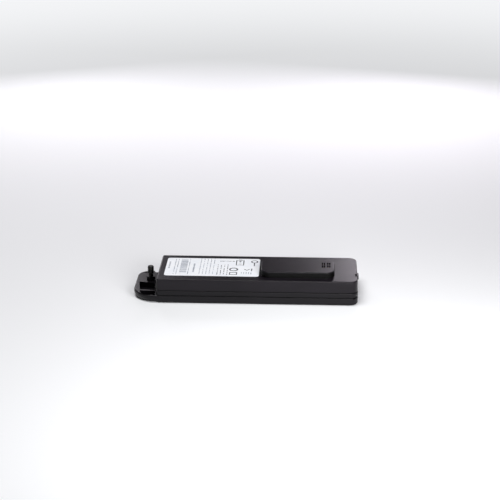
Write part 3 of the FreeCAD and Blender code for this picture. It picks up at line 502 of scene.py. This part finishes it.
def threaded_screw(sizes, centre, low, high, head_radius, material):
    """The screw as rings of vertices, the thread cut in as a helix."""
    rows = screw_profile(sizes, low, high, head_radius)
    around = sizes.segments
    pitch = sizes.pitch_mm * MM
    verts, faces = [], []
    for z, radius, cut in rows[1:-1]:
        for n in range(around):
            turn = n / around
            phase = (z / pitch - turn) % 1.0
            notch = 1 - abs(2 * phase - 1) if cut else 0.0
            r = radius - cut * max(0.0, min(1.0, FLANK * notch - CREST))
            verts.append((centre.x + r * math.cos(2 * math.pi * turn),
                          centre.y + r * math.sin(2 * math.pi * turn), z))
    rings = len(rows) - 2
    for k in range(rings - 1):
        for n in range(around):
            m = (n + 1) % around
            faces.append((k * around + n, k * around + m, (k + 1) * around + m, (k + 1) * around + n))
    bottom, top = len(verts), len(verts) + 1
    verts += [(centre.x, centre.y, low), (centre.x, centre.y, high)]
    last = (rings - 1) * around
    for n in range(around):
        m = (n + 1) % around
        faces += [(bottom, m, n), (top, last + n, last + m)]
    return new_piece("lock_screw_threaded", verts, faces, material)


def cut_slot(screw, centre, low, head_radius, width, depth):
    """Cut the coin slot across the head from below, past both of its sides."""
    length = SLOT_OVERRUN * head_radius
    bpy.ops.mesh.primitive_cube_add(size=1, location=(centre.x, centre.y, low))
    cutter = bpy.context.object
    cutter.data.transform(Matrix.Diagonal((width, length, 2 * depth, 1)))
    modifier = screw.modifiers.new("coin_slot", "BOOLEAN")
    modifier.operation = "DIFFERENCE"
    modifier.solver = "EXACT"
    modifier.object = cutter
    apply_modifiers(screw)
    bpy.data.objects.remove(cutter)


# ---------------------------------------------------------------- settings

def length_mm(name, what, value, low=0.0):
    return bpy.props.FloatProperty(name=name, description=what, default=value, min=low)


def watts(name, what, value):
    return bpy.props.FloatProperty(name=name, description=what, default=value, min=0, subtype="POWER")


def colour(name, what, hex_colour):
    return bpy.props.FloatVectorProperty(name=name, description=what, size=4, subtype="COLOR",
                                         default=linear(hex_colour), min=0, max=1)


class ScrewSettings(bpy.types.PropertyGroup):
    """Sizes of the captive lock screw, in millimetres."""
    head_mm: length_mm("Head height", "Height of the slotted head", 1.5)
    neck_mm: length_mm("Neck diameter", "Plain neck inside the bush", 2.6)
    thread_mm: length_mm("Thread diameter", "Over the thread's crests", 3.5)
    thread_length_mm: length_mm("Thread length", "Threaded end, with its lead-in", 3.85)
    pitch_mm: length_mm("Pitch", "One turn of the thread", 0.6)
    lead_in_mm: length_mm("Lead-in", "Chamfer at the tip", 0.4)
    edge_mm: length_mm("Edge", "Rounding of the head's edges", 0.25)
    slot_width_mm: length_mm("Slot width", "Coin slot", 0.9)
    slot_depth_mm: length_mm("Slot depth", "Coin slot", 0.7)
    rows_per_turn: bpy.props.IntProperty(name="Rows per turn", description="Mesh rows in one turn of thread",
                                         default=10, min=6)
    segments: bpy.props.IntProperty(name="Segments", description="Mesh segments round the screw",
                                    default=56, min=16)


class LabelSettings(bpy.types.PropertyGroup):
    """Print on the label."""
    ink_mm: length_mm("Ink thickness", "Print standing on the film", 0.02)
    seed: bpy.props.IntProperty(name="Seed", description="Which dashes are printed", default=7)


class StageSettings(bpy.types.PropertyGroup):
    """Camera, floor and lights."""
    lens_mm: length_mm("Lens", "Focal length on a 36 mm sensor", 103.1, 1)
    azimuth: bpy.props.FloatProperty(name="Azimuth", description="Camera's direction from -Y, in degrees",
                                     default=-2.47)
    elevation: bpy.props.FloatProperty(name="Elevation", description="Camera above the floor, in degrees",
                                       default=20.21)
    distance_mm: length_mm("Distance", "Camera to the point that it looks at", 783.7, 1)
    aim_mm: bpy.props.FloatVectorProperty(name="Aim", description="Point that the camera looks at",
                                          default=(1.875, 0.0, 24.4))
    floor: colour("Floor", "Studio card", "#F4F5F7")
    overhead: watts("Overhead", "Broad soft box above", 5.2)
    near_right: watts("Near right", "Small soft box low at the latch end, in front", 0.6)
    back_left: watts("Back left", "Strip behind the flange, for sheen", 0.33)
    back_right: watts("Back right", "Strip behind the latch end, for sheen", 0.44)
    world: bpy.props.FloatProperty(name="World", description="Brightness all round", default=0.03, min=0)


# ---------------------------------------------------------------- operators

class PACK_OT_shells(bpy.types.Operator):
    """Moulded plastic of the cover, frame and case"""
    bl_idname = "battery_pack.shells"
    bl_label = "Moulded shells"

    def execute(self, context):
        # The cover and frame are the same black polycarbonate as the case, but their colours are darker:
        # painted shade for the darker light low down near the floor.
        dress(spark_eroded_plastic("cover_polycarbonate", "#0A080C", "#121014", 0.37), "outer_cover")
        dress(spark_eroded_plastic("case_polycarbonate", "#0E0B10", "#171319", 0.36), "inner_case")
        # Painted shade: the frame uses the cover's darker colours rather than the case's.
        dress(spark_eroded_plastic("frame_polycarbonate", "#0A080C", "#121014", 0.38), "middle_frame")
        return {"FINISHED"}


class PACK_OT_seals(bpy.types.Operator):
    """Rubber in the parting lines and round the contact plug"""
    bl_idname = "battery_pack.seals"
    bl_label = "Rubber seals"

    def execute(self, context):
        dress(moulded_rubber("parting_seal_silicone", "#050505", "#0E0E0F"), "cover_seal", "case_seal")
        dress(moulded_rubber("plug_seal_silicone", "#030303", "#0A0A0A", 0.6), "plug_seal")
        return {"FINISHED"}


class PACK_OT_label(bpy.types.Operator):
    """White label with generic print: rows of dashes, a bar block and plain symbols"""
    bl_idname = "battery_pack.label"
    bl_label = "Label"

    def execute(self, context):
        settings = context.scene.pack_label
        dress(printed_film(), "label")
        low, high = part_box("label")
        ink = label_ink("dark_label_ink", "#1C2028", "#3C414C")
        pale = label_ink("pale_label_ink", "#868C98", "#B4BAC4")
        ink_height = settings.ink_mm * MM
        z = high.z + ink_height / 4                   # a quarter of the ink is sunk in the film
        tree = print_tree()
        pieces = []

        def rows(centre, span, count, dashes, stroke, material, **more):
            """Rows of dashes: the block's centre on the label, its span and the stroke, in mm."""
            place = Vector((low.x + centre[0] * MM, low.y + centre[1] * MM, z))
            sizes = {"Width": span[0] * MM, "Length": span[1] * MM, "Rows": count,
                     "Dashes": dashes, "Stroke": stroke * MM, "Thickness": ink_height,
                     "Seed": settings.seed + len(pieces), **more}
            pieces.append(printed_rows(tree, place, material, **sizes))

        rows((1.8, 16.0), (0, 9.0), 1, 10, 0.9, pale, Inked=1.0)
        rows((5.6, 14.0), (1.5, 23.0), 2, 34, 0.45, pale)
        rows((9.8, 14.9), (0, 20.0), 1, 34, 3.8, pale, Shortest=0.2, Longest=0.8, Inked=1.0)
        rows((12.7, 14.0), (0, 23.0), 1, 30, 0.45, pale)
        rows((15.5, 12.0), (0, 12.0), 1, 11, 0.9, pale)
        rows((22.6, 14.8), (7.4, 23.5), 5, 36, 0.4, pale)
        rows((31.4, 9.8), (5.4, 15.0), 4, 24, 0.45, ink, Inked=0.75)
        rows((33.5, 22.9), (7.6, 0.5), 12, 2, 0.45, ink, Inked=0.9)
        rows((44.6, 5.0), (5.2, 2.0), 5, 3, 0.5, pale)
        pieces += self.symbols(low, z - ink_height / 2, z + ink_height / 2, ink)
        printed = join("label_print", pieces)
        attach(printed, PACK)
        return {"FINISHED"}

    def symbols(self, low, bottom, top, ink):
        """Plain marks, in mm from the label's corner: a cell with its poles, two rings, a square,
        a chevron and a bar."""
        def at(x, y):
            return Vector((low.x + x * MM, low.y + y * MM))

        def stroke(width, points):
            return ribbon([at(*p) for p in points], width * MM, bottom, top, ink)

        def ring(x, y, radius, width):
            return ribbon(circle(at(x, y), radius * MM), width * MM, bottom, top, ink)

        cell = [(38.6, 17.0), (42.6, 17.0), (42.6, 24.4), (38.6, 24.4), (38.6, 17.0)]
        square = [(35.6, 2.6), (39.4, 2.6), (39.4, 5.8), (35.6, 5.8), (35.6, 2.6)]
        return [stroke(0.6, cell), stroke(0.6, [(39.6, 25.2), (41.6, 25.2)]),
                stroke(0.5, [(40.6, 21.6), (40.6, 23.4)]), stroke(0.5, [(39.7, 22.5), (41.5, 22.5)]),
                stroke(0.5, [(39.7, 18.8), (41.5, 18.8)]),
                ring(48.6, 22.6, 1.7, 0.6), stroke(0.6, [(48.6, 20.8), (48.6, 16.0)]),
                ring(37.5, 10.4, 2.1, 0.8), stroke(0.8, square),
                stroke(0.6, [(43.4, 11.0), (44.8, 9.2), (46.2, 11.0)]),
                stroke(0.6, [(47.4, 8.4), (47.4, 12.0)])]


class PACK_OT_screw(bpy.types.Operator):
    """Captive lock screw with its thread and coin slot, its bush, washer and O-ring"""
    bl_idname = "battery_pack.screw"
    bl_label = "Lock screw"

    def execute(self, context):
        sizes = context.scene.pack_screw
        low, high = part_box("lock_screw")
        centre = (low + high) / 2
        head_radius = (high.x - low.x) / 2
        steel = black_oxide_steel("screw_black_oxide", "#18181A", "#4C4945")
        screw = threaded_screw(sizes, centre, low.z, high.z, head_radius, steel)
        cut_slot(screw, centre, low.z, head_radius, sizes.slot_width_mm * MM, sizes.slot_depth_mm * MM)
        smooth_by_angle(screw)
        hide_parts("lock_screw")
        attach(screw, SCREW)
        dress(black_oxide_steel("bush_black_oxide", "#141416", "#3A3835", 0.42), "screw_bush")
        dress(natural_nylon(), "screw_washer")
        dress(moulded_rubber("o_ring_nitrile", "#0C0C0D", "#171718"), "screw_o_ring")
        return {"FINISHED"}


class PACK_OT_cells(bpy.types.Operator):
    """Cells, straps and packing inside the case"""
    bl_idname = "battery_pack.cells"
    bl_label = "Cells and straps"

    def execute(self, context):
        can = drawn_metal("deep_drawn_aluminium", "#B4B7BA", "#D3D5D7", 0.35)
        nickel = drawn_metal("rolled_nickel", "#A8A298", "#CCC6BA", 0.28)
        nylon = bpy.data.materials.get("natural_nylon") or natural_nylon()
        foil = wound_foil()
        for side in ("left", "right"):
            dress(can, f"cell_{side}_can", f"cell_{side}_lid")
            dress(foil, f"cell_{side}_winding")
            dress(nickel, f"cell_{side}_terminal", f"negative_strap_{side}", f"positive_strap_{side}")
            dress(nylon, f"cell_{side}_gasket")
        dress(nylon, "cell_spacer")
        dress(closed_cell_foam(), "cell_foam_pads", "end_pad_left", "end_pad_right", "board_foam")
        dress(foam_tape(), "cell_tapes")
        dress(insulating_paper(), "cell_insulator")
        return {"FINISHED"}


class PACK_OT_board(bpy.types.Operator):
    """Protection board, its components and the contact block"""
    bl_idname = "battery_pack.board"
    bl_label = "Board and contacts"

    def execute(self, context):
        dress(solder_mask(), "protection_board")
        dress(moulding_compound(), "switch_transistors", "protection_circuit")
        dress(fired_ceramic("white_fuse_ceramic", "#CFCFC8", "#E4E4DE"), "board_fuse")
        dress(fired_ceramic("tan_capacitor_ceramic", "#86694A", "#A78A67"), "board_passives")
        dress(spark_eroded_plastic("contact_block_nylon", "#19191B", "#232326", 0.5), "contact_block")
        dress(gold_plate(), "contact_blades")
        return {"FINISHED"}


class PACK_OT_stage(bpy.types.Operator):
    """Pale floor, soft studio light and the camera"""
    bl_idname = "battery_pack.stage"
    bl_label = "Studio"

    def execute(self, context):
        settings = context.scene.pack_stage
        scene = context.scene
        scene.view_settings.view_transform = "Standard"
        corners = [(-FLOOR_REACH, -FLOOR_REACH, 0), (FLOOR_REACH, -FLOOR_REACH, 0),
                   (FLOOR_REACH, FLOOR_REACH, 0), (-FLOOR_REACH, FLOOR_REACH, 0)]
        floor = new_piece("studio_floor", corners, [(0, 1, 2, 3)], studio_sweep(settings.floor))

        world = bpy.data.worlds.new("studio_world")
        world.use_nodes = True
        background = world.node_tree.nodes["Background"]
        background.inputs["Color"].default_value = linear("#FFFFFF")
        background.inputs["Strength"].default_value = settings.world
        scene.world = world

        for name, place, size, tint in LIGHTS:
            self.light(name, place, size, getattr(settings, name), tint)

        camera = bpy.data.objects.new("camera", bpy.data.cameras.new("camera"))
        camera.data.lens = settings.lens_mm
        camera.data.sensor_width = SENSOR_MM
        camera.data.clip_start = NEAR_CLIP
        turn, rise = math.radians(settings.azimuth), math.radians(settings.elevation)
        away = Vector((-math.sin(turn) * math.cos(rise), -math.cos(turn) * math.cos(rise), math.sin(rise)))
        camera.location = Vector(settings.aim_mm) * MM + away * settings.distance_mm * MM
        camera.rotation_euler = away.to_track_quat("Z", "Y").to_euler()
        scene.collection.objects.link(camera)
        scene.camera = camera
        return {"FINISHED"}

    def light(self, name, place, size, power, tint):
        """A soft rectangular light that faces the pack."""
        lamp = bpy.data.lights.new(f"{name}_light", "AREA")
        lamp.shape = "RECTANGLE"
        lamp.size, lamp.size_y = size
        lamp.energy = power
        lamp.color = linear(tint)[:3]
        holder = bpy.data.objects.new(f"{name}_light", lamp)
        holder.location = place
        holder.visible_camera = False
        holder.rotation_euler = Vector(place).to_track_quat("Z", "Y").to_euler()
        bpy.context.scene.collection.objects.link(holder)


class PACK_PT_panel(bpy.types.Panel):
    """Steps and settings in the sidebar"""
    bl_label = "Battery Pack"
    bl_idname = "PACK_PT_panel"
    bl_space_type = "VIEW_3D"
    bl_region_type = "UI"
    bl_category = "Battery Pack"

    def draw(self, context):
        for step in STEPS:
            self.layout.operator(step.bl_idname)
        for group in (context.scene.pack_screw, context.scene.pack_label, context.scene.pack_stage):
            box = self.layout.box()
            for name in group.__annotations__:
                box.prop(group, name)


STEPS = (PACK_OT_stage, PACK_OT_shells, PACK_OT_seals, PACK_OT_label, PACK_OT_screw, PACK_OT_cells,
         PACK_OT_board)
CLASSES = (ScrewSettings, LabelSettings, StageSettings) + STEPS + (PACK_PT_panel,)


def register():
    for made in CLASSES:
        bpy.utils.register_class(made)
    bpy.types.Scene.pack_screw = bpy.props.PointerProperty(type=ScrewSettings)
    bpy.types.Scene.pack_label = bpy.props.PointerProperty(type=LabelSettings)
    bpy.types.Scene.pack_stage = bpy.props.PointerProperty(type=StageSettings)


def unregister():
    del bpy.types.Scene.pack_stage
    del bpy.types.Scene.pack_label
    del bpy.types.Scene.pack_screw
    for made in reversed(CLASSES):
        bpy.utils.unregister_class(made)


def main():
    register()
    for step in STEPS:
        group, name = step.bl_idname.split(".")
        getattr(getattr(bpy.ops, group), name)()


if __name__ == "__main__":
    main()
